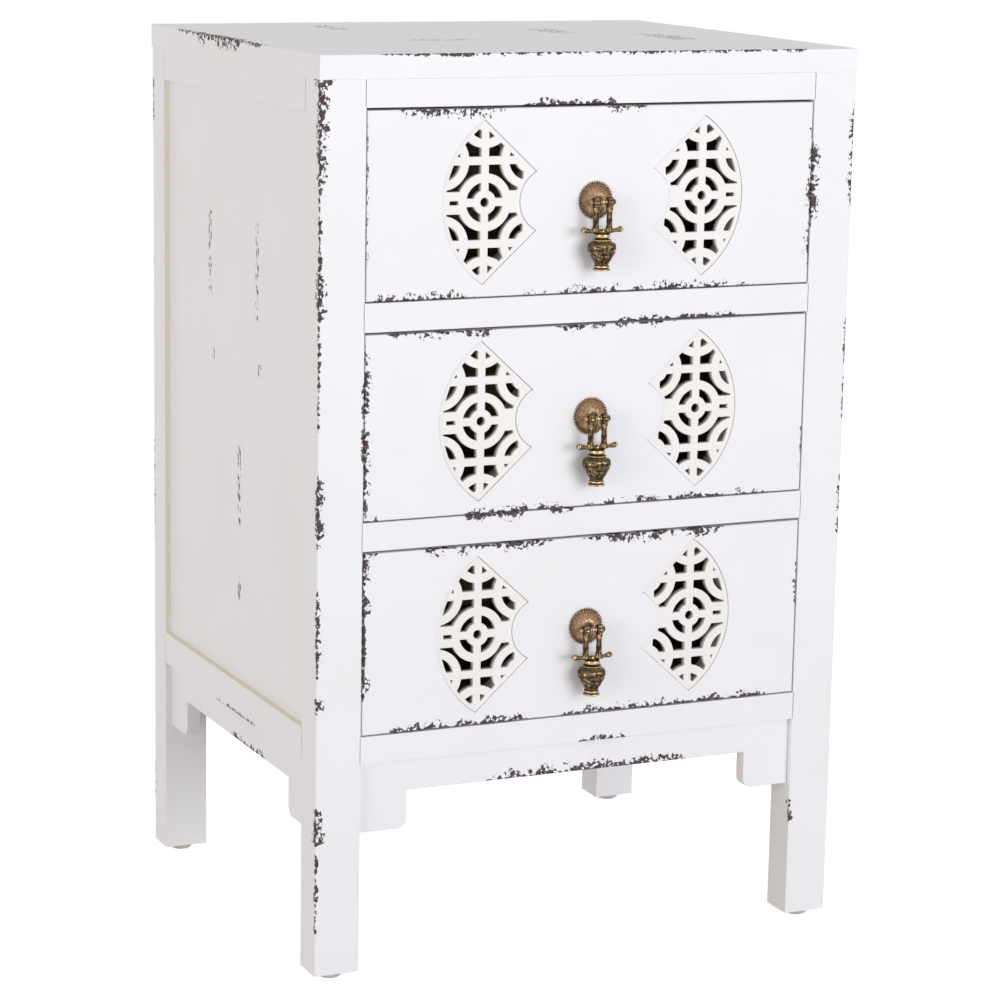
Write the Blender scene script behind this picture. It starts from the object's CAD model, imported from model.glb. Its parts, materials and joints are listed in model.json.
import json
import math
import bmesh
import bpy
from mathutils import Matrix, Vector, noise


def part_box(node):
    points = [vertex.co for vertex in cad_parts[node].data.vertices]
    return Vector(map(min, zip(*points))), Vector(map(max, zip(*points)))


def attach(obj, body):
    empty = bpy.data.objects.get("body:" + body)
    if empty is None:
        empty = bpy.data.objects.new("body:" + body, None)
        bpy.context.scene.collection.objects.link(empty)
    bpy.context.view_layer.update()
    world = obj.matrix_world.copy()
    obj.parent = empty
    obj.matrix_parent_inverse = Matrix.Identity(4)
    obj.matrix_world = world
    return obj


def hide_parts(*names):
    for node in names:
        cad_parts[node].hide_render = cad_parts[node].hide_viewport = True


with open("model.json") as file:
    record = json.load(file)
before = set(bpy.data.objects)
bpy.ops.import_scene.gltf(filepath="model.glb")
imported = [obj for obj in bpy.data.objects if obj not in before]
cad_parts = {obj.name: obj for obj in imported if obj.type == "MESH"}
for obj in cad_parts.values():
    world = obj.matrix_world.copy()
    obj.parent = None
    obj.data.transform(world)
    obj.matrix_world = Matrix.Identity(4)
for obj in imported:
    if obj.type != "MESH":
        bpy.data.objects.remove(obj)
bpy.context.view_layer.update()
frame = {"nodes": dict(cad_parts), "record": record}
levels = ["upper", "middle", "lower"]

# camera, fitted to the corners of the cabinet in the photograph
cameraSetup = {
    "place": (-1.020, -2.231, 0.807),
    "azimuth": -24.707,
    "elevation": 11.523,
    "roll": 1.033,
    "focalLength": 117.3,
    "sensorWidth": 36.0,
}


def makeCamera(setup):
    data = bpy.data.cameras.new("photoCamera")
    data.lens = setup["focalLength"]
    data.sensor_width = setup["sensorWidth"]
    data.clip_start, data.clip_end = 0.05, 50
    cam = bpy.data.objects.new("photoCamera", data)
    cam.matrix_world = (Matrix.Translation(setup["place"])
                        @ Matrix.Rotation(math.radians(setup["azimuth"]), 4, "Z")
                        @ Matrix.Rotation(math.radians(90 - setup["elevation"]), 4, "X")
                        @ Matrix.Rotation(math.radians(setup["roll"]), 4, "Z"))
    bpy.context.scene.collection.objects.link(cam)
    bpy.context.scene.camera = cam


makeCamera(cameraSetup)
print("camera made")


# small helpers for meshes

def finishMesh(bm, name, material, smoothAngle=35, flatFaces=True):
    mesh = bpy.data.meshes.new(name)
    bm.to_mesh(mesh)
    bm.free()
    mesh.materials.append(material)
    obj = bpy.data.objects.new(name, mesh)
    bpy.context.scene.collection.objects.link(obj)
    for face in mesh.polygons:
        face.use_smooth = True
    mesh.set_sharp_from_angle(angle=math.radians(smoothAngle))
    if flatFaces:
        # large faces keep their own normal, so that only the eased edges between them look round
        even = obj.modifiers.new("evenNormals", "WEIGHTED_NORMAL")
        even.keep_sharp, even.weight = True, 100
    return obj


def softenEdges(bm, edges, width, segments=2):
    bmesh.ops.bevel(bm, geom=edges, offset=width, offset_type="OFFSET", segments=segments,
                    profile=0.5, affect="EDGES", material=-1, clamp_overlap=True)


def sharpEdges(bm, angle=60):
    return [e for e in bm.edges if len(e.link_faces) == 2 and e.calc_face_angle(0) > math.radians(angle)]


def pinned(point, low, high, pins):
    # true where a point lies on the sides named, such as "-x+z" for the left side and the top
    for sign, axis in zip(pins[::2], pins[1::2]):
        side = low if sign == "-" else high
        if abs(point["xyz".index(axis)] - side["xyz".index(axis)]) > 1e-6:
            return False
    return True


def boardMesh(low, high, small, big=0.0, bigPins=(), along="xyz"):
    # a board whose edges along the given axes are eased, the ones named in bigPins more than the rest
    low, high = Vector(low), Vector(high)
    bm = bmesh.new()
    size = high - low
    place = Matrix.Translation((low + high) / 2) @ Matrix.Diagonal((size.x, size.y, size.z, 1.0))
    bmesh.ops.create_cube(bm, size=1.0, matrix=place)
    chosen = [e for e in bm.edges if any(all(pinned(v.co, low, high, p) for v in e.verts) for p in bigPins)]
    if chosen:
        softenEdges(bm, chosen, big, 4)
    axes = ["xyz".index(letter) for letter in along]
    rest = [e for e in sharpEdges(bm) if any(abs(e.verts[0].co[k] - e.verts[1].co[k]) > 0.005 for k in axes)]
    softenEdges(bm, rest, small)
    return bm


def nodeCopy(nodeName):
    # a merged copy of a CAD node's mesh, with its flat faces whole again
    bm = bmesh.new()
    bm.from_mesh(frame["nodes"][nodeName].data)
    bmesh.ops.remove_doubles(bm, verts=bm.verts, dist=1e-6)
    bmesh.ops.dissolve_limit(bm, angle_limit=math.radians(0.5), verts=bm.verts, edges=bm.edges)
    return bm


def softCopy(nodeName, width, segments=1):
    bm = nodeCopy(nodeName)
    softenEdges(bm, sharpEdges(bm), width, segments)
    return bm


def standFor(obj, body, slotName, *nodes):
    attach(obj, body)
    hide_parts(*nodes)


class Nodes:
    # short forms for adding and joining shader nodes
    def __init__(self, tree):
        self.tree = tree

    def add(self, kind, **values):
        made = self.tree.nodes.new(kind)
        for key, value in values.items():
            setattr(made, key, value)
        return made

    def join(self, source, target):
        self.tree.links.new(source, target)

    def feed(self, socket, value):
        if isinstance(value, bpy.types.NodeSocket):
            self.join(value, socket)
        else:
            socket.default_value = value

    def maths(self, operation, *values, clamp=False):
        made = self.add("ShaderNodeMath", operation=operation, use_clamp=clamp)
        for socket, value in zip(made.inputs, values):
            self.feed(socket, value)
        return made.outputs[0]

    def times(self, *values):
        total = values[0]
        for value in values[1:]:
            total = self.maths("MULTIPLY", total, value)
        return total

    def vector(self, operation, *values):
        made = self.add("ShaderNodeVectorMath", operation=operation)
        for socket, value in zip(made.inputs, values):
            self.feed(socket, value)
        return made.outputs["Value" if operation in ("LENGTH", "DOT_PRODUCT", "DISTANCE") else "Vector"]

    def split(self, vector):
        made = self.add("ShaderNodeSeparateXYZ")
        self.feed(made.inputs[0], vector)
        return made.outputs

    def turned(self, vector, rotation, scale):
        made = self.add("ShaderNodeMapping")
        self.feed(made.inputs["Vector"], vector)
        made.inputs["Rotation"].default_value = rotation
        made.inputs["Scale"].default_value = scale
        return made.outputs["Vector"]

    def ramp(self, value, low, high, toLow=0.0, toHigh=1.0):
        made = self.add("ShaderNodeMapRange", interpolation_type="SMOOTHSTEP")
        for socket, given in zip(made.inputs, (value, low, high, toLow, toHigh)):
            self.feed(socket, given)
        return made.outputs["Result"]

    def noise(self, vector, scale, detail=2.0, roughness=0.5):
        made = self.add("ShaderNodeTexNoise")
        self.feed(made.inputs["Vector"], vector)
        self.feed(made.inputs["Scale"], scale)
        made.inputs["Detail"].default_value = detail
        made.inputs["Roughness"].default_value = roughness
        return made.outputs["Fac"]

    def mix(self, factor, a, b):
        made = self.add("ShaderNodeMix", data_type="RGBA")
        self.feed(made.inputs[0], factor)
        self.feed(made.inputs[6], a)
        self.feed(made.inputs[7], b)
        return made.outputs[2]

    def bump(self, height, strength, distance):
        made = self.add("ShaderNodeBump")
        made.inputs["Strength"].default_value = strength
        made.inputs["Distance"].default_value = distance
        self.feed(made.inputs["Height"], height)
        return made.outputs["Normal"]


def newGroup(name, inputs, outputs):
    tree = bpy.data.node_groups.new(name, "ShaderNodeTree")
    for label, kind, value in inputs:
        socket = tree.interface.new_socket(label, in_out="INPUT", socket_type="NodeSocket" + kind)
        socket.default_value = value
    for label, kind in outputs:
        tree.interface.new_socket(label, in_out="OUTPUT", socket_type="NodeSocket" + kind)
    n = Nodes(tree)
    return n, n.add("NodeGroupInput"), n.add("NodeGroupOutput")


def useGroup(n, group, **values):
    made = n.add("ShaderNodeGroup")
    made.node_tree = group
    for label, value in values.items():
        n.feed(made.inputs[label], value)
    return made


def newMaterial(name):
    material = bpy.data.materials.new(name)
    material.use_nodes = True
    material.node_tree.nodes.clear()
    n = Nodes(material.node_tree)
    surface = n.add("ShaderNodeBsdfPrincipled")
    out = n.add("ShaderNodeOutputMaterial")
    n.join(surface.outputs["BSDF"], out.inputs["Surface"])
    place = n.add("ShaderNodeTexCoord").outputs["Object"]
    return material, n, surface, place


# shared effects

def makeBoardEdge():
    # how far a point on a board lies from the nearest long edge, in metres
    n, start, end = newGroup("boardEdge", [
        ("Vector", "Vector", (0, 0, 0)), ("Centre", "Vector", (0, 0, 0)), ("Half", "Vector", (1, 1, 1)),
    ], [("Distance", "Float")])
    away = n.vector("SUBTRACT", start.outputs["Vector"], start.outputs["Centre"])
    x, y, z = n.split(n.vector("SUBTRACT", start.outputs["Half"], n.vector("ABSOLUTE", away)))
    total = n.maths("ADD", n.maths("ADD", x, y), z)
    least = n.maths("MINIMUM", n.maths("MINIMUM", x, y), z)
    most = n.maths("MAXIMUM", n.maths("MAXIMUM", x, y), z)
    n.join(n.maths("SUBTRACT", n.maths("SUBTRACT", total, least), most), end.inputs["Distance"])
    return n.tree


def makePatch():
    # a soft-edged box that says where on a piece something happens
    n, start, end = newGroup("patch", [
        ("Vector", "Vector", (0, 0, 0)), ("Centre", "Vector", (0, 0, 0)),
        ("Radius", "Vector", (1, 1, 1)), ("Strength", "Float", 1.0),
    ], [("Weight", "Float")])
    away = n.vector("ABSOLUTE", n.vector("SUBTRACT", start.outputs["Vector"], start.outputs["Centre"]))
    x, y, z = n.split(n.vector("DIVIDE", away, start.outputs["Radius"]))
    share = n.maths("MAXIMUM", n.maths("MAXIMUM", x, y), z)
    n.join(n.times(n.ramp(share, 0.72, 1.0, 1.0, 0.0), start.outputs["Strength"]), end.inputs["Weight"])
    return n.tree


def makeRubbedPaint():
    # bare dark wood where the paint is rubbed through, ragged and with islands towards the sound paint
    n, start, end = newGroup("rubbedPaint", [
        ("Vector", "Vector", (0, 0, 0)), ("Distance", "Float", 0.0), ("Weight", "Float", 0.0),
        ("Width", "Float", 0.0045), ("Streak", "Float", 0.0),
    ], [("Bare", "Float"), ("Thin", "Float")])
    place, weight = start.outputs["Vector"], start.outputs["Weight"]
    distance, width = start.outputs["Distance"], start.outputs["Width"]
    broad = n.noise(place, 85.0, 2.0, 0.5)
    ragged = n.noise(place, 320.0, 2.0, 0.6)
    brush = n.noise(n.turned(place, (0.0, 0.65, 0.0), (1.0, 1.0, 0.2)), 1300.0, 1.0, 0.5)
    reach = n.times(width, weight, n.ramp(broad, 0.34, 0.58, 0.25, 1.0),
                    n.ramp(ragged, 0.38, 0.60, 0.05, 1.5))
    over = n.maths("SUBTRACT", reach, distance)
    over = n.maths("SUBTRACT", over, n.times(n.ramp(brush, 0.42, 0.56), start.outputs["Streak"], 0.004))
    specks = n.noise(place, 520.0, 1.0, 0.5)
    islands = n.times(n.ramp(specks, 0.54, 0.62), 0.0022, n.ramp(distance, 0.0008, 0.003))
    over = n.maths("SUBTRACT", over, islands)
    worn = n.maths("GREATER_THAN", weight, 0.02)
    near = n.ramp(distance, n.times(width, 0.5), n.times(width, 1.5), 1.0, 0.0)
    dots = n.ramp(n.noise(place, 560.0, 1.0, 0.5), 0.67, 0.69)
    flecks = n.times(dots, near, n.ramp(weight, 0.3, 0.8), worn)
    flecks = n.times(flecks, n.ramp(broad, 0.45, 0.55))
    bare = n.maths("MAXIMUM", n.times(n.ramp(over, 0.0, 0.00022), worn), flecks)
    n.join(bare, end.inputs["Bare"])
    n.join(n.times(n.ramp(over, -0.0005, 0.0001), worn), end.inputs["Thin"])
    return n.tree


def makeFlecks():
    # small dashes drawn out along the height, for marks in the middle of a panel
    n, start, end = newGroup("flecks", [
        ("Vector", "Vector", (0, 0, 0)), ("Weight", "Float", 0.0),
    ], [("Bare", "Float")])
    drawn = n.turned(start.outputs["Vector"], (0, 0, 0), (1.0, 1.0, 0.38))
    spots = n.ramp(n.noise(drawn, 420.0, 2.0, 0.55), 0.545, 0.575)
    n.join(n.times(spots, n.ramp(start.outputs["Weight"], 0.1, 0.7)), end.inputs["Bare"])
    return n.tree


def makeWoodGrain():
    # long grain along Z of the vector it is given, as a shade and a height
    n, start, end = newGroup("woodGrain", [("Vector", "Vector", (0, 0, 0))],
                             [("Shade", "Float"), ("Height", "Float")])
    place = start.outputs["Vector"]
    drawn = n.turned(place, (0, 0, 0), (1.0, 1.0, 0.06))
    wander = n.noise(drawn, 28.0, 2.0, 0.5)
    rings = n.maths("FRACT", n.maths("MULTIPLY", wander, 9.0))
    rings = n.ramp(n.maths("ABSOLUTE", n.maths("SUBTRACT", rings, 0.5)), 0.1, 0.5)
    fibres = n.noise(drawn, 900.0, 3.0, 0.6)
    n.join(n.maths("ADD", n.times(rings, 0.55), n.times(fibres, 0.45)), end.inputs["Shade"])
    n.join(fibres, end.inputs["Height"])
    return n.tree


boardEdge = makeBoardEdge()
patchGroup = makePatch()
rubbedPaint = makeRubbedPaint()
flecksGroup = makeFlecks()
woodGrain = makeWoodGrain()
print("shared effects made")

# paint: dark wood under a white coat
paintLook = {
    "white": (0.855, 0.86, 0.89, 1),
    "whiteDeep": (0.84, 0.84, 0.86, 1),
    "bareDark": (0.034, 0.021, 0.025, 1),
    "bareMid": (0.16, 0.12, 0.14, 1),
    "thinPaint": (0.60, 0.56, 0.54, 1),
    "cream": (0.85, 0.80, 0.66, 1),
    "cutWall": (0.40, 0.33, 0.27, 1),
    "roughness": 0.42,
    "bareRoughness": 0.65,
    "wearWidth": 0.0045,
}
edgeReach = 0.012      # how far from an edge a wear patch may show
stainReach = 0.0009    # thickness of the creamy film on a reveal


def patchBox(low, high, pins, axis, start, stop, reach):
    # centre and radius of a patch that hugs the pinned sides from start to stop along the axis
    centre, radius = (low + high) / 2, (high - low) / 2 + Vector((0.01, 0.01, 0.01))
    for sign, letter in zip(pins[::2], pins[1::2]):
        k = "xyz".index(letter)
        centre[k] = low[k] if sign == "-" else high[k]
        radius[k] = reach
    k = "xyz".index(axis)
    centre[k], radius[k] = (start + stop) / 2, abs(stop - start) / 2 * 1.15
    return centre, radius


def patchWeight(n, place, boxes):
    weight = 0.0
    for centre, radius, strength in boxes:
        one = useGroup(n, patchGroup, Vector=place, Centre=centre, Radius=radius, Strength=strength)
        weight = n.maths("MAXIMUM", one.outputs["Weight"], weight)
    return weight


def paintMaterial(name, low, high, wear=(), stains=(), flecks=(), streak=0.0, cutDepth=None, look=paintLook):
    low, high = Vector(low), Vector(high)
    material, n, surface, place = newMaterial(name)
    shade = n.noise(place, 14.0, 3.0, 0.55)
    colour = n.mix(n.ramp(shade, 0.3, 0.7), look["white"], look["whiteDeep"])
    if stains:
        boxes = [(*patchBox(low, high, pins, axis, start, stop, stainReach), strength)
                 for pins, axis, start, stop, strength in stains]
        colour = n.mix(patchWeight(n, place, boxes), colour, look["cream"])
    if cutDepth:
        # the walls of cut-outs lose their paint towards the back
        depth = n.ramp(n.split(place)[1], low.y + cutDepth[0], low.y + cutDepth[1])
        colour = n.mix(depth, colour, look["cutWall"])
    bareAll = 0.0
    if wear:
        boxes = [(*patchBox(low, high, pins, axis, start, stop, edgeReach), strength)
                 for pins, axis, start, stop, strength in wear]
        weight = patchWeight(n, place, boxes)
        edge = useGroup(n, boardEdge, Vector=place, Centre=(low + high) / 2, Half=(high - low) / 2)
        worn = useGroup(n, rubbedPaint, Vector=place, Distance=edge.outputs["Distance"], Weight=weight,
                        Width=look["wearWidth"], Streak=streak)
        colour = n.mix(n.times(worn.outputs["Thin"], 0.4), colour, look["thinPaint"])
        bareAll = worn.outputs["Bare"]
    if flecks:
        boxes = [(Vector(centre), Vector(radius), 1.0) for centre, radius in flecks]
        spots = useGroup(n, flecksGroup, Vector=place, Weight=patchWeight(n, place, boxes))
        bareAll = n.maths("MAXIMUM", spots.outputs["Bare"], bareAll)
    grain = n.noise(place, 260.0, 3.0, 0.55)
    if wear or flecks:
        bare = n.mix(n.ramp(n.noise(place, 300.0, 3.0, 0.6), 0.5, 0.72), look["bareDark"], look["bareMid"])
        colour = n.mix(bareAll, colour, bare)
        n.join(n.ramp(bareAll, 0.0, 1.0, look["roughness"], look["bareRoughness"]),
               surface.inputs["Roughness"])
        height = n.maths("SUBTRACT", n.times(grain, 0.25), bareAll)
    else:
        n.join(n.ramp(grain, 0.3, 0.7, look["roughness"] - 0.03, look["roughness"] + 0.05),
               surface.inputs["Roughness"])
        height = n.times(grain, 0.25)
    n.join(colour, surface.inputs["Base Color"])
    n.join(n.bump(height, 0.3, 0.0003), surface.inputs["Normal"])
    return material


# painted boards: what is eased, and where along which edges the paint has gone, in metres
# a wear entry is the edge's sides, the axis it runs along, its start, its end and its strength
postEase = {"outer": 0.0014, "inner": 0.0002}
postWear = {
    "front_left_post": [
        ("-x-y", "z", 0.572, 0.643, 1.15), ("-x-y", "z", 0.520, 0.575, 0.5), ("-x-y", "z", 0.478, 0.527, 1.0),
        ("-x-y", "z", 0.400, 0.478, 0.35), ("-x-y", "z", 0.318, 0.368, 0.9), ("-x-y", "z", 0.224, 0.288, 0.6),
        ("-x-y", "z", 0.199, 0.210, 0.9), ("-x-y", "z", 0.103, 0.129, 1.2), ("-x-y", "z", 0.035, 0.096, 0.4),
        ("+x-y", "z", 0.377, 0.433, 0.35),
    ],
    "front_right_post": [
        ("-x-y", "z", 0.532, 0.592, 1.0), ("+x-y", "z", 0.545, 0.618, 0.8), ("+x-y", "z", 0.382, 0.465, 0.4),
        ("+x-y", "z", 0.299, 0.344, 0.5), ("-x-y", "z", 0.078, 0.095, 0.7), ("+x+y", "z", 0.420, 0.520, 0.7),
    ],
    "rear_left_post": [
        ("-x+y", "z", 0.585, 0.625, 0.8), ("-x+y", "z", 0.470, 0.492, 0.6), ("-x+y", "z", 0.040, 0.090, 0.6),
        ("-x+y", "z", 0.250, 0.340, 0.6), ("+x+y", "z", 0.030, 0.110, 0.4),
    ],
    "rear_right_post": [
        ("+x+y", "z", 0.470, 0.600, 1.0), ("+x+y", "z", 0.210, 0.290, 0.7), ("+x+y", "z", 0.050, 0.120, 0.8),
        ("+x-y", "z", 0.040, 0.090, 0.5),
    ],
}
creamReveal = {"low": 0.183, "high": 0.619}
railEase = 0.00025
railLap = 0.0005       # how far a rail reaches into the posts, so that no seam shows
railWear = {
    "top_front_rail": [("-y-z", "x", -0.055, 0.014, 0.8)],
    "upper_divider_rail": [("-y-z", "x", 0.022, 0.116, 0.5)],
    "lower_divider_rail": [("-y+z", "x", -0.096, -0.052, 1.0), ("-y+z", "x", -0.030, -0.012, 0.6)],
    "bottom_front_rail": [("-y-z", "x", -0.002, 0.034, 0.8)],
    "top_rear_rail": [("+y-z", "x", -0.070, 0.060, 0.6)],
    "bottom_rear_rail": [("+y+z", "x", 0.020, 0.120, 0.6)],
    "left_top_rail": [],
    "right_top_rail": [("+x-z", "y", -0.030, 0.060, 0.5)],
    "left_bottom_rail": [("-x-z", "y", -0.044, 0.040, 0.45)],
    "right_bottom_rail": [("+x-z", "y", 0.000, 0.090, 0.5)],
}
topEase = {"upper": 0.0011, "lower": 0.0003}
topWear = [
    ("-x+z", "y", -0.010, 0.085, 1.4), ("-x+z", "y", -0.061, 0.124, 0.5),
    ("-y+z", "x", -0.163, 0.036, 0.4), ("-y+z", "x", 0.000, 0.170, 0.4),
    ("+x+z", "y", -0.060, 0.110, 0.7), ("+y+z", "x", -0.120, 0.100, 0.7),
]
topFlecks = [((-0.088, 0.125, 0.66), (0.010, 0.030, 0.002)), ((0.070, 0.060, 0.66), (0.012, 0.030, 0.002)),
             ((-0.060, -0.030, 0.66), (0.030, 0.010, 0.002)), ((0.130, -0.020, 0.66), (0.014, 0.040, 0.002))]


def makePosts():
    for nodeName, wear in postWear.items():
        low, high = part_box(nodeName)
        sideOut = "-x" if "left" in nodeName else "+x"
        endOut, endIn = ("-y", "+y") if "front" in nodeName else ("+y", "-y")
        stains = [(endIn, "z", creamReveal["low"], creamReveal["high"], 0.85)]
        material = paintMaterial(nodeName + "Paint", low, high, wear, stains)
        bm = boardMesh(low, high, postEase["inner"], postEase["outer"], [sideOut + endOut])
        standFor(finishMesh(bm, nodeName + "_board", material), "carcass", "frame_paint", nodeName)


def makeRails():
    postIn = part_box("front_left_post")[1]
    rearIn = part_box("rear_left_post")[0]
    for nodeName, wear in railWear.items():
        low, high = map(Vector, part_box(nodeName))
        if "top_rail" in nodeName or "left_bottom" in nodeName or "right_bottom" in nodeName:
            low.y, high.y = postIn[1] - railLap, rearIn[1] + railLap
        else:
            low.x, high.x = postIn[0] - railLap, railLap - postIn[0]
        stains = [("+z", "y", low.y - 0.01, high.y + 0.01, 1.0)] if "_bottom_rail" in nodeName else []
        material = paintMaterial(nodeName + "Paint", low, high, wear, stains)
        bm = boardMesh(low, high, railEase, along="y" if high.y - low.y > 0.1 else "x")
        standFor(finishMesh(bm, nodeName + "_board", material), "carcass", "frame_paint", nodeName)


def makeTop():
    low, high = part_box("top_panel")
    material = paintMaterial("topPanelPaint", low, high, topWear, flecks=topFlecks)
    bm = boardMesh(low, high, topEase["lower"], topEase["upper"], ["-x+z", "+x+z", "-y+z", "+y+z"])
    standFor(finishMesh(bm, "top_board", material), "carcass", "top_paint", "top_panel")


makePosts()
makeRails()
makeTop()
print("posts, rails and top made")

# side panels: rows of small dashes as if a brush had skipped
panelMarks = {
    "left": [(0.068, 0.466, 0.530), (0.061, 0.418, 0.427), (-0.033, 0.459, 0.532), (-0.039, 0.419, 0.428),
             (0.003, 0.244, 0.262), (0.004, 0.300, 0.362)],
    "right": [(-0.052, 0.420, 0.500), (0.060, 0.300, 0.345), (0.030, 0.520, 0.560)],
}
markWidth = 0.0036


def makeSidePanels():
    for side, marks in panelMarks.items():
        nodeName = side + "_side_panel"
        low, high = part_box(nodeName)
        face = low[0] if side == "left" else high[0]
        flecks = [((face, y, (z0 + z1) / 2), (0.01, markWidth, abs(z1 - z0) / 2 * 1.1))
                  for y, z0, z1 in marks]
        material = paintMaterial(nodeName + "Paint", low, high, flecks=flecks)
        bm = boardMesh(low, high, 0.0004)
        standFor(finishMesh(bm, nodeName + "_board", material), "carcass", "panel_paint", nodeName)


makeSidePanels()
print("side panels made")

# aprons keep the outline of their solids, with eased edges
apronEase = 0.0007
apronUnderside = 0.135
apronWear = {
    "front_apron": [("-y-z", "x", -0.068, 0.086, 1.5)],
    "left_apron": [("-x-z", "y", -0.050, 0.020, 0.9)],
    "right_apron": [("+x-z", "y", -0.060, 0.050, 0.9)],
    "rear_apron": [("+y-z", "x", -0.100, 0.050, 0.9)],
}


def makeAprons():
    for nodeName, wear in apronWear.items():
        low, high = map(Vector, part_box(nodeName))
        low.z = apronUnderside
        material = paintMaterial(nodeName + "Paint", low, high, wear)
        obj = finishMesh(softCopy(nodeName, apronEase, 2), nodeName + "_board", material)
        standFor(obj, "carcass", "frame_paint", nodeName)


makeAprons()
print("aprons made")

# drawer fronts, their inserts and the rubbed edges round them
frontEase = {"edge": 0.0008, "cutOut": 0.0003}
frontWear = {
    "upper": [
        ("-y+z", "x", -0.150, -0.073, 1.1), ("-y+z", "x", 0.006, 0.040, 1.2),
        ("-x-y", "z", 0.516, 0.610, 0.4),
        ("+x-y", "z", 0.505, 0.605, 0.7), ("-y-z", "x", -0.172, -0.094, 1.1),
        ("-y-z", "x", -0.055, -0.036, 0.7),
        ("-y-z", "x", -0.027, 0.124, 1.0),
    ],
    "middle": [
        ("-y+z", "x", -0.155, -0.078, 0.9), ("-y+z", "x", -0.027, 0.066, 0.7),
        ("-x-y", "z", 0.336, 0.458, 0.8),
        ("-y-z", "x", -0.096, -0.020, 0.8), ("-y-z", "x", 0.000, 0.144, 0.8),
        ("+x-y", "z", 0.350, 0.390, 0.4),
    ],
    "lower": [
        ("-y+z", "x", -0.126, -0.028, 1.1), ("-y+z", "x", 0.000, 0.107, 1.2),
        ("-x-y", "z", 0.208, 0.311, 0.9),
        ("+x-y", "z", 0.246, 0.284, 0.5), ("-y-z", "x", -0.155, -0.041, 1.0),
        ("-y-z", "x", -0.013, 0.148, 1.0),
    ],
}
frontStreak = {"upper": 0.75, "middle": 0.2, "lower": 0.1}
fretEase = 0.00025
cutFade = (0.0006, 0.0050)    # depths behind the face between which a cut wall turns bare


def frontPlaneEdges(bm, y):
    # edges that lie in the front plane and turn a corner there
    return [e for e in sharpEdges(bm) if all(abs(v.co.y - y) < 1e-6 for v in e.verts)]


def makeFronts():
    fretLook = dict(paintLook, white=(0.86, 0.852, 0.838, 1), whiteDeep=(0.845, 0.832, 0.812, 1))
    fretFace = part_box("upper_left_fret")[0][1]
    fretPaint = paintMaterial("fretPaint", (-1, fretFace, -1), (1, 1, 1), cutDepth=cutFade, look=fretLook)
    for level in levels:
        nodeName = level + "_drawer_front"
        low, high = map(Vector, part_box(nodeName))
        material = paintMaterial(nodeName + "Paint", low, high, frontWear[level], streak=frontStreak[level])
        bm = nodeCopy(nodeName)
        outline = [e for e in sharpEdges(bm)
                   if all(abs(v.co.x - low.x) < 1e-6 or abs(v.co.x - high.x) < 1e-6
                          or abs(v.co.z - low.z) < 1e-6 or abs(v.co.z - high.z) < 1e-6 for v in e.verts)
                   and all(abs(v.co.y - low.y) < 1e-6 for v in e.verts)]
        softenEdges(bm, outline, frontEase["edge"], 3)
        softenEdges(bm, frontPlaneEdges(bm, low.y), frontEase["cutOut"], 2)
        obj = finishMesh(bm, level + "_front_board", material)
        standFor(obj, level + "_drawer", "front_paint", nodeName)
        for side in ("left", "right"):
            nodeName = level + "_" + side + "_fret"
            bm = nodeCopy(nodeName)
            softenEdges(bm, frontPlaneEdges(bm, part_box(nodeName)[0][1]), fretEase, 1)
            obj = finishMesh(bm, level + "_" + side + "_insert", fretPaint)
            standFor(obj, level + "_drawer", "fret_paint", nodeName)


makeFronts()
print("drawer fronts and inserts made")

# bare wood inside and behind
woodLook = {
    "drawerWood": {"pale": (0.50, 0.35, 0.21, 1), "deep": (0.34, 0.215, 0.115, 1), "roughness": 0.6},
    "ply": {"pale": (0.45, 0.31, 0.185, 1), "deep": (0.32, 0.20, 0.11, 1), "roughness": 0.65},
}
# turns that lay the grain along X, Y or Z
grainTurn = {"x": (0, math.radians(90), 0), "y": (math.radians(90), 0, 0), "z": (0, 0, 0)}
woodEase = 0.0006


def woodMaterial(name, look, axis):
    material, n, surface, place = newMaterial(name)
    grain = useGroup(n, woodGrain, Vector=n.turned(place, grainTurn[axis], (1, 1, 1)))
    blotch = n.noise(place, 12.0, 2.0, 0.5)
    shade = n.maths("ADD", n.times(grain.outputs["Shade"], 0.8), n.times(blotch, 0.3))
    n.join(n.mix(n.ramp(shade, 0.25, 0.85), look["pale"], look["deep"]), surface.inputs["Base Color"])
    surface.inputs["Roughness"].default_value = look["roughness"]
    n.join(n.bump(grain.outputs["Height"], 0.25, 0.0003), surface.inputs["Normal"])
    return material


def makeWoodParts():
    along = {axis: woodMaterial("drawerWood" + axis.upper(), woodLook["drawerWood"], axis) for axis in "xy"}
    plyAlong = {axis: woodMaterial("ply" + axis.upper(), woodLook["ply"], axis) for axis in "xz"}
    parts = [("back_panel", "carcass", "ply", plyAlong["z"]),
             ("bottom_panel", "carcass", "ply", plyAlong["x"])]
    for level in levels:
        parts.append((level + "_runners", "carcass", "drawer_wood", along["y"]))
        body = level + "_drawer"
        parts.append((level + "_drawer_left_side", body, "drawer_wood", along["y"]))
        parts.append((level + "_drawer_right_side", body, "drawer_wood", along["y"]))
        parts.append((level + "_drawer_back", body, "drawer_wood", along["x"]))
        parts.append((level + "_drawer_bottom", body, "ply", plyAlong["x"]))
    for nodeName, body, slotName, material in parts:
        obj = finishMesh(softCopy(nodeName, woodEase), nodeName + "_wood", material)
        standFor(obj, body, slotName, nodeName)


makeWoodParts()
print("wooden parts made")

# cast metal: a polish value on every point says what is rubbed bright and what stays dark
metalLook = {
    "brass": {"dark": (0.030, 0.019, 0.010, 1), "middle": (0.145, 0.098, 0.052, 1),
              "bright": (0.50, 0.375, 0.20, 1)},
    "bronze": {"dark": (0.030, 0.014, 0.006, 1), "middle": (0.23, 0.142, 0.082, 1),
               "bright": (0.62, 0.41, 0.26, 1)},
}


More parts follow.
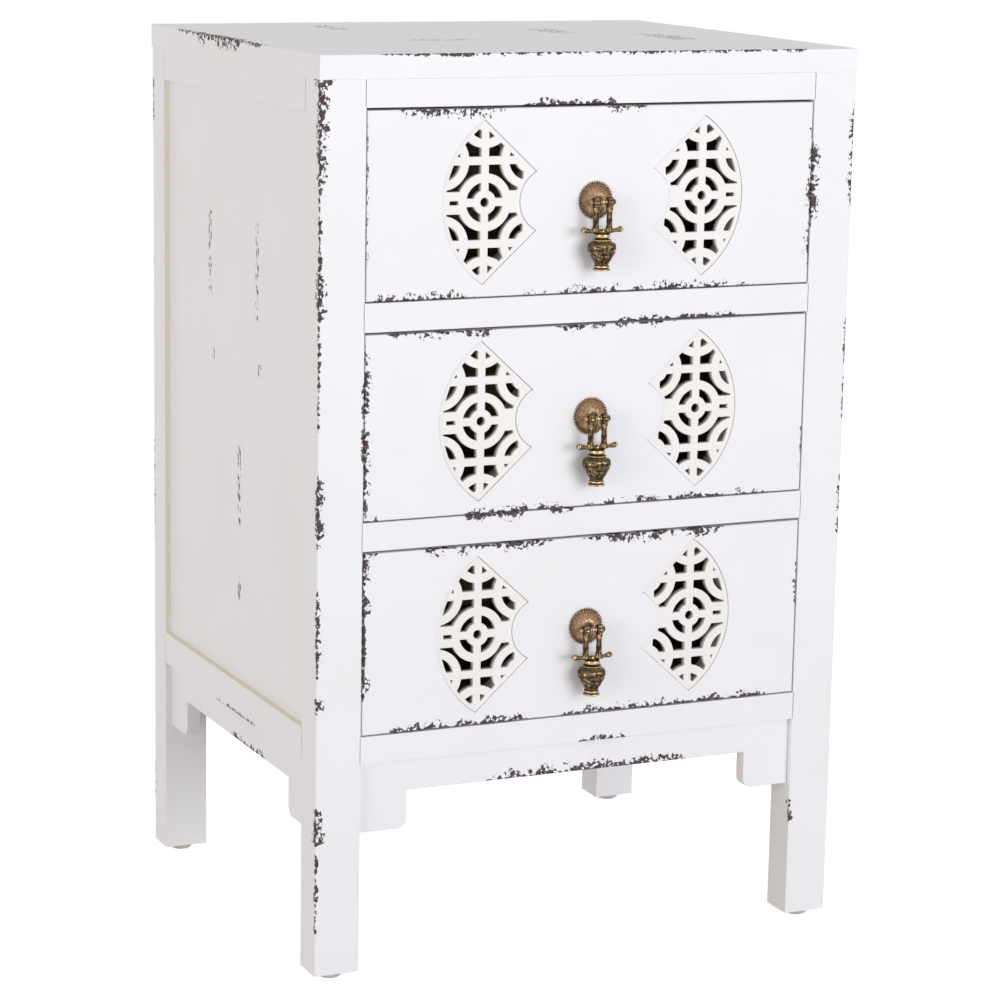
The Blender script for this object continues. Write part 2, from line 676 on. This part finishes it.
def makePatina():
    # patina that gathers in the hollows, and a mottled colour between dark and bright
    n, start, end = newGroup("patina", [
        ("Vector", "Vector", (0, 0, 0)), ("Polish", "Float", 0.5), ("Dark", "Color", (0, 0, 0, 1)),
        ("Middle", "Color", (0.3, 0.2, 0.1, 1)), ("Bright", "Color", (0.7, 0.5, 0.3, 1)),
    ], [("Color", "Color"), ("Roughness", "Float"), ("Height", "Float")])
    mottle = n.noise(start.outputs["Vector"], 900.0, 4.0, 0.65)
    shine = n.maths("ADD", start.outputs["Polish"], n.ramp(mottle, 0.3, 0.7, -0.28, 0.28))
    colour = n.mix(n.ramp(shine, 0.05, 0.5), start.outputs["Dark"], start.outputs["Middle"])
    colour = n.mix(n.ramp(shine, 0.6, 1.05), colour, start.outputs["Bright"])
    n.join(colour, end.inputs["Color"])
    n.join(n.ramp(shine, 0.1, 0.9, 0.55, 0.24), end.inputs["Roughness"])
    n.join(mottle, end.inputs["Height"])
    return n.tree


def metalMaterial(name, look):
    material, n, surface, place = newMaterial(name)
    polish = n.add("ShaderNodeAttribute", attribute_name="polish").outputs["Fac"]
    made = useGroup(n, patina, Vector=place, Polish=polish, Dark=look["dark"], Middle=look["middle"],
                    Bright=look["bright"])
    n.join(made.outputs["Color"], surface.inputs["Base Color"])
    n.join(made.outputs["Roughness"], surface.inputs["Roughness"])
    n.join(n.bump(made.outputs["Height"], 0.25, 0.0002), surface.inputs["Normal"])
    surface.inputs["Metallic"].default_value = 1.0
    return material


patina = makePatina()
brassMaterial = metalMaterial("antiqueBrass", metalLook["brass"])
bronzeMaterial = metalMaterial("antiqueBronze", metalLook["bronze"])
mm = 0.001


def turnedForm(bm, outline, steps, place, shape=None):
    # spins a half outline of (radius, height, polish) in millimetres about its own Z
    # shape may move each point and give it another polish before it goes to its place
    polish = bm.verts.layers.float.get("polish") or bm.verts.layers.float.new("polish")
    known = set(bm.verts)
    line = []
    for radius, height, shine in outline:
        point = bm.verts.new((radius * mm, 0, height * mm))
        point[polish] = shine
        line.append(point)
    sides = [bm.edges.new(pair) for pair in zip(line, line[1:])]
    bmesh.ops.spin(bm, geom=line + sides, cent=(0, 0, 0), axis=(0, 0, 1), angle=math.tau, steps=steps,
                   use_merge=True)
    made = [v for v in bm.verts if v not in known]
    bmesh.ops.remove_doubles(bm, verts=made, dist=1e-7)
    made = [v for v in bm.verts if v not in known]
    if shape:
        for point in made:
            co, shine = shape(point.co / mm, point[polish])
            point.co, point[polish] = Vector(co) * mm, shine
    faces = list({face for point in made for face in point.link_faces})
    bmesh.ops.recalc_face_normals(bm, faces=faces)
    bmesh.ops.transform(bm, matrix=place, verts=made)


def arc(radius, height, size, start, stop, count, shine):
    # points along a round stretch of an outline, angles in degrees
    angles = [start + (stop - start) * k / (count - 1) for k in range(count)]
    return [(radius + size * math.cos(math.radians(a)), height + size * math.sin(math.radians(a)), shine)
            for a in angles]


rosetteLook = {
    "teeth": 42,
    "columnsPerTooth": 4,
    "toothRoot": 12.2,
    "toothRamp": 1.2,
    "toothDepth": 1.7,
    "fluteDepth": 0.42,
    # half outline from the shank's hole to the rim and back along the face
    "outline": [(2.3, 0.0, 0.1), (2.3, 4.1, 0.1), (2.6, 4.35, 0.2), (3.6, 4.3, 0.4), (5.2, 4.0, 0.85),
                (7.0, 3.5, 1.0), (8.8, 2.8, 0.95), (10.4, 2.05, 0.7), (11.3, 1.6, 0.55), (11.9, 1.35, 0.4),
                (12.3, 1.2, 0.35), (13.2, 0.95, 0.55), (14.0, 0.6, 0.7), (14.0, 0.2, 0.3), (12.2, 0.0, 0.1),
                (2.3, 0.0, 0.1)],
}


def makeRosettes(values):
    turn = Matrix.Rotation(math.radians(90), 4, "X")

    def fluted(co, shine):
        radius, angle = math.hypot(co.x, co.y), math.atan2(co.y, co.x)
        wave = abs((angle / math.tau * values["teeth"]) % 1.0 - 0.5) * 2
        if radius > values["toothRoot"]:
            share = min(1.0, (radius - values["toothRoot"]) / values["toothRamp"])
            radius -= values["toothDepth"] * (1 - wave) * share
            shine *= 0.15 + 0.85 * wave
        elif radius > 2.7 and co.z > 0.8:
            share = min(1.0, (radius - 2.7) / 5)
            co.z -= values["fluteDepth"] * share * (1 - wave)
            shine = shine * (1 - 0.55 * share * (1 - wave))
        return (radius * math.cos(angle), radius * math.sin(angle), co.z), shine

    for level in levels:
        low, high = map(Vector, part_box(level + "_rosette"))
        face = Matrix.Translation(((low.x + high.x) / 2, high.y, (low.z + high.z) / 2))
        bm = bmesh.new()
        turnedForm(bm, values["outline"], values["teeth"] * values["columnsPerTooth"], face @ turn, fluted)
        obj = finishMesh(bm, level + "_rosette_cast", bronzeMaterial, 50, flatFaces=False)
        standFor(obj, level + "_drawer", "bronze", level + "_rosette")


makeRosettes(rosetteLook)
print("rosettes made")

eyeLook = {
    "pitch": 0.7,
    "threadLength": 6.0,
    "threadDepth": 0.28,
    "shank": 2.0,
    "shankGap": 0.8,
    "barrelRadius": 2.08,
    # radius, distance behind the pivot and polish of the neck
    "neck": [(1.95, 1.9, 0.15), (1.6, 0.6, 0.15), (0.0, 0.4, 0.1)],
    "collar": [(2.0, 4.2, 0.1), (3.0, 4.3, 0.4), (3.1, 4.8, 0.7), (2.9, 5.3, 0.4), (2.05, 5.5, 0.15)],
    # half outline of the barrel along the pin
    "barrel": [(0.0, -2.5, 0.3), (1.7, -2.5, 0.3), (2.06, -2.2, 0.9), (2.06, -1.7, 0.9), (1.82, -1.5, 0.35),
               (1.88, 0.0, 1.0), (1.82, 1.5, 0.35), (2.06, 1.7, 0.9), (2.06, 2.2, 0.9), (1.7, 2.5, 0.3),
               (0.0, 2.5, 0.3)],
}


def makeEyes(values):
    outward = Matrix.Rotation(math.radians(90), 4, "X")
    sideways = Matrix.Rotation(math.radians(90), 4, "Y")
    for level in levels:
        low, high = map(Vector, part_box(level + "_pull_eye"))
        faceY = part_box(level + "_rosette")[1][1]
        centre = Vector(((low.x + high.x) / 2, faceY, (low.z + high.z) / 2))
        pivot = (faceY - low.y) / mm - values["barrelRadius"]
        tail = (faceY - high.y) / mm
        threads = []
        for k in range(int(values["threadLength"] / values["pitch"])):
            height = tail + values["pitch"] * (k + 0.5)
            threads.append((values["shank"], height, 0.7))
            threads.append((values["shank"] - values["threadDepth"], height + values["pitch"] / 2, 0.2))
        outline = ([(0.0, tail, 0.3), (1.6, tail, 0.4)] + threads
                   + [(values["shank"], tail + values["threadLength"] + values["shankGap"], 0.3)]
                   + values["collar"] + [(r, pivot - back, shine) for r, back, shine in values["neck"]])
        bm = bmesh.new()
        turnedForm(bm, outline, 28, Matrix.Translation(centre) @ outward)
        barrelPlace = Matrix.Translation((centre.x, faceY - pivot * mm, centre.z)) @ sideways
        turnedForm(bm, values["barrel"], 28, barrelPlace)
        obj = finishMesh(bm, level + "_eye_cast", brassMaterial, flatFaces=False)
        standFor(obj, level + "_drawer", "brass", level + "_pull_eye")


makeEyes(eyeLook)
print("eyes made")

# pendant: flower heads, arms, crossbar with drop ends, and a vase with low relief, in millimetres
pendantLook = {
    "armX": 5.3,
    "pinRadius": 1.1,
    "crossbarDrop": 21.0,
    "endRise": 9.0,
    "petals": 8,
    "petalDepth": 0.16,
    "head": [(0.0, -2.4, 0.2), (2.8, -2.4, 0.2), (3.6, -1.8, 0.6), (4.2, -0.9, 0.7), (4.3, 0.6, 0.8),
             (3.7, 1.8, 0.7), (2.8, 2.5, 0.4), (2.2, 2.2, 0.02), (2.15, 3.0, 0.2), (1.95, 3.8, 0.7),
             (1.4, 4.4, 0.9), (0.6, 4.7, 1.0), (0.0, 4.8, 1.0)],
    "arm": [(0.0, 0.0, 0.2), (3.1, 0.2, 0.2), (2.9, 1.6, 0.6), (2.3, 3.4, 0.35), (2.0, 5.5, 0.3),
            (2.15, 8.0, 0.45), (1.85, 10.5, 0.25), (1.9, 13.0, 0.4), (2.2, 15.0, 0.6), (2.6, 16.4, 0.8),
            (2.4, 17.4, 0.3), (1.9, 18.6, 0.3), (0.0, 19.6, 0.3)],
    "bar": [(0.0, -5.6, 0.4), (1.7, -5.4, 0.4), (1.55, -3.6, 0.3), (1.35, -2.0, 0.3), (1.9, -0.9, 0.8),
            (2.1, 0.0, 1.0), (1.9, 0.9, 0.8), (1.35, 2.0, 0.3), (1.55, 3.6, 0.3), (1.7, 5.4, 0.4),
            (0.0, 5.6, 0.4)],
    "end": ([(0.0, 0.0, 0.3), (1.5, 0.4, 0.4), (1.25, 2.6, 0.3), (1.5, 3.0, 0.7), (1.2, 3.5, 0.3),
             (1.45, 5.2, 0.5), (1.85, 7.2, 0.7)]
            + arc(0.0, 8.98, 2.2, -12, 60, 7, 0.8)
            + [(0.75, 10.75, 0.5), (0.55, 10.6, 0.1), (0.0, 10.5, 0.1)]),
    "vaseHeight": 27.4,
    "vaseRadius": 10.35,
    "reliefTop": 0.29,
    "reliefBottom": 0.84,
    "reliefDepth": 0.42,
}


def vaseOutline(values):
    # half outline of the vase, heights counted down from the crossbar
    tall, wide = values["vaseHeight"], values["vaseRadius"]
    shares = [(0.0, 0.0, 0.3), (0.34, 0.0, 0.2), (0.36, 0.05, 0.1), (0.52, 0.052, 0.5), (0.55, 0.065, 1.1),
              (0.55, 0.135, 1.1), (0.52, 0.148, 0.6), (0.45, 0.152, 0.05), (0.45, 0.183, 0.05),
              (0.62, 0.19, 0.5), (0.67, 0.2, 1.1), (0.67, 0.222, 1.1), (0.64, 0.234, 0.6),
              (0.58, 0.238, 0.05),
              (0.6, 0.25, 0.1), (0.66, 0.25, 0.9), (0.7, 0.258, 1.0), (0.72, 0.268, 0.3)]
    shoulder = [(0.72 + 0.28 * math.sin(math.radians(a)), 0.4 - 0.132 * math.cos(math.radians(a)), 0.45)
                for a in range(10, 91, 10)]
    belly = [(0.46 + 0.54 * math.cos(math.radians(a)) ** 1.3, 0.4 + 0.46 * a / 90, 0.45)
             for a in range(4, 89, 4)]
    foot = [(0.46, 0.862, 0.1), (0.5, 0.868, 0.6), (0.53, 0.882, 1.1), (0.53, 0.912, 1.1), (0.5, 0.926, 0.6),
            (0.47, 0.932, 0.05), (0.5, 0.944, 0.3), (0.585, 0.962, 1.1), (0.6, 0.975, 1.1), (0.6, 0.992, 0.9),
            (0.57, 1.0, 0.5), (0.3, 1.0, 0.2), (0.0, 0.985, 0.1)]
    return [(r * wide, -h * tall, shine) for r, h, shine in shares + shoulder + belly + foot]


def makePendants(values):
    top, bottom = -values["reliefTop"] * values["vaseHeight"], -values["reliefBottom"] * values["vaseHeight"]

    def petalled(co, shine):
        angle = math.atan2(co.y, co.x)
        between = 1 - abs(math.cos(angle * values["petals"] / 2))
        edge = min(1.0, max(0.0, (math.hypot(co.x, co.y) - 2.2) / 1.2))
        size = 1 - values["petalDepth"] * between * edge
        return (co.x * size, co.y * size, co.z), shine * (1 - 0.75 * between * edge)

    def rough(co, shine):
        lump = noise.noise(Vector(co) * 0.55)
        size = 1 + 0.09 * lump
        return (co.x * size, co.y * size, co.z), min(1.2, max(0.0, shine + 0.9 * lump))

    def relief(co, shine):
        if not bottom < co.z < top:
            return co, shine
        radius = math.hypot(co.x, co.y)
        fade = min(1.0, (top - co.z) / 1.5, (co.z - bottom) / 1.5)
        angle = math.atan2(co.y, co.x)
        around = math.sin(5 * angle + 2.2 * math.sin(co.z * 0.75))
        scroll = around * math.cos(co.z * 0.9 + 2 * math.cos(3 * angle))
        lump = 0.6 * scroll + 0.9 * noise.noise(Vector(co) * 0.6)
        grown = radius + values["reliefDepth"] * fade * (max(-0.6, min(0.6, lump)) - 0.5)
        size = grown / radius
        return (co.x * size, co.y * size, co.z), max(0.0, min(1.1, 0.36 + 0.7 * lump * fade))

    for level in levels:
        pivot = next(Vector(joint["pos_m"]) for joint in frame["record"]["behaviour"]["joints"]
                     if joint["name"] == level + "_pull_swing")
        bm = bmesh.new()
        middle = Matrix.Translation(pivot)
        bar = Matrix.Translation(pivot - Vector((0, 0, values["crossbarDrop"] * mm)))
        reach, thick = values["armX"], values["pinRadius"]
        pin = [(0, -reach, 0.3), (thick, -reach, 0.3), (thick, reach, 0.3), (0, reach, 0.3)]
        turnedForm(bm, pin, 20, middle @ Matrix.Rotation(math.radians(90), 4, "Y"))
        for side in (-1, 1):
            aside = Matrix.Translation((side * values["armX"] * mm, 0, 0))
            turnedForm(bm, values["head"], values["petals"] * 6,
                       middle @ aside @ Matrix.Rotation(math.radians(90 * side), 4, "Y"), petalled)
            turnedForm(bm, values["arm"], 24, bar @ aside, rough)
            turn = Matrix.Rotation(math.radians((90 - values["endRise"]) * side), 4, "Y")
            turnedForm(bm, values["end"], 24, bar @ aside @ turn, rough)
        turnedForm(bm, values["bar"], 24, bar @ Matrix.Rotation(math.radians(90), 4, "Y"), rough)
        turnedForm(bm, vaseOutline(values), 96, bar, relief)
        obj = finishMesh(bm, level + "_pendant_cast", brassMaterial, 60, flatFaces=False)
        standFor(obj, level + "_pull", "brass", level + "_pendant")


makePendants(pendantLook)
print("pendants made")

# plated nuts and washers, and the glides under the posts
hardwareLook = {
    "steel": {"pale": (0.60, 0.60, 0.61, 1), "deep": (0.42, 0.42, 0.44, 1), "roughness": 0.36},
    "plastic": {"pale": (0.60, 0.57, 0.50, 1), "deep": (0.44, 0.41, 0.35, 1), "roughness": 0.35},
    "ease": 0.00018,
}


def makeHardware(values):
    for kind in ("steel", "plastic"):
        look = values[kind]
        material, n, surface, place = newMaterial("zincPlate" if kind == "steel" else "glidePlastic")
        mottle = n.noise(place, 420.0, 3.0, 0.6)
        n.join(n.mix(n.ramp(mottle, 0.35, 0.7), look["pale"], look["deep"]), surface.inputs["Base Color"])
        n.join(n.ramp(mottle, 0.3, 0.7, look["roughness"] - 0.06, look["roughness"] + 0.1),
               surface.inputs["Roughness"])
        surface.inputs["Metallic"].default_value = 1.0 if kind == "steel" else 0.0
        n.join(n.bump(mottle, 0.2, 0.0001), surface.inputs["Normal"])
        if kind == "steel":
            for level in levels:
                bm = softCopy(level + "_pull_nut", values["ease"])
                obj = finishMesh(bm, level + "_nut_plated", material)
                standFor(obj, level + "_drawer", "steel", level + "_pull_nut")
        else:
            obj = finishMesh(softCopy("foot_glides", values["ease"]), "foot_glides_moulded", material)
            standFor(obj, "carcass", "glide", "foot_glides")


makeHardware(hardwareLook)
print("hardware made")

# floor, world and lamps
studio = {
    "worldStrength": 0.48,
    "worldColour": (1.0, 0.985, 0.985, 1),
    "floorSize": 12.0,
    "floorColour": (0.80, 0.80, 0.80, 1),
    "floorGlow": 0.75,
    "lampSpread": 35.0,
    "lamps": [
        # name, where the light comes from, strength, colour
        ("keyLamp", (0.34, -0.93, 0.14), 1.63, (0.955, 0.96, 1.0)),
        ("sideLamp", (-0.92, -0.35, 0.10), 1.17, (1.0, 0.91, 0.82)),
    ],
}


def blendedShader(n, factor, first, second):
    made = n.add("ShaderNodeMixShader")
    n.join(factor, made.inputs[0])
    n.join(first, made.inputs[1])
    n.join(second, made.inputs[2])
    return made.outputs[0]


def makeWorld(values):
    world = bpy.data.worlds.new("studioWorld")
    bpy.context.scene.world = world
    world.use_nodes = True
    world.node_tree.nodes.clear()
    n = Nodes(world.node_tree)
    path = n.add("ShaderNodeLightPath")
    seen = n.maths("MAXIMUM", path.outputs["Is Camera Ray"], path.outputs["Is Glossy Ray"])
    seen = n.maths("MAXIMUM", seen, path.outputs["Is Transmission Ray"])
    soft, white = n.add("ShaderNodeBackground"), n.add("ShaderNodeBackground")
    soft.inputs["Color"].default_value = values["worldColour"]
    soft.inputs["Strength"].default_value = values["worldStrength"]
    white.inputs["Color"].default_value = (1, 1, 1, 1)
    white.inputs["Strength"].default_value = 1.0
    out = n.add("ShaderNodeOutputWorld")
    n.join(blendedShader(n, seen, soft.outputs[0], white.outputs[0]), out.inputs["Surface"])


def makeFloor(values):
    bm = bmesh.new()
    bmesh.ops.create_grid(bm, x_segments=1, y_segments=1, size=values["floorSize"] / 2)
    floorPaint = bpy.data.materials.new("floorPaint")
    floorPaint.use_nodes = True
    floorPaint.node_tree.nodes.clear()
    n = Nodes(floorPaint.node_tree)
    path = n.add("ShaderNodeLightPath")
    matt = n.add("ShaderNodeBsdfDiffuse")
    glow = n.add("ShaderNodeEmission")
    both = n.add("ShaderNodeAddShader")
    matt.inputs["Color"].default_value = values["floorColour"]
    glow.inputs["Strength"].default_value = values["floorGlow"]
    n.join(matt.outputs[0], both.inputs[0])
    n.join(glow.outputs[0], both.inputs[1])
    seen = n.maths("MAXIMUM", path.outputs["Is Camera Ray"], path.outputs["Is Glossy Ray"])
    out = n.add("ShaderNodeOutputMaterial")
    n.join(blendedShader(n, seen, matt.outputs[0], both.outputs[0]), out.inputs["Surface"])
    finishMesh(bm, "studioFloor", floorPaint)


def makeLamps(values):
    for name, source, strength, colour in values["lamps"]:
        lamp = bpy.data.lights.new(name, "SUN")
        lamp.angle = math.radians(values["lampSpread"])
        lamp.energy = strength
        lamp.color = colour
        obj = bpy.data.objects.new(name, lamp)
        obj.matrix_world = Vector(source).to_track_quat("Z", "Y").to_matrix().to_4x4()
        bpy.context.scene.collection.objects.link(obj)


bpy.context.scene.view_settings.view_transform = "Standard"
makeWorld(studio)
makeFloor(studio)
makeLamps(studio)
print("studio made")
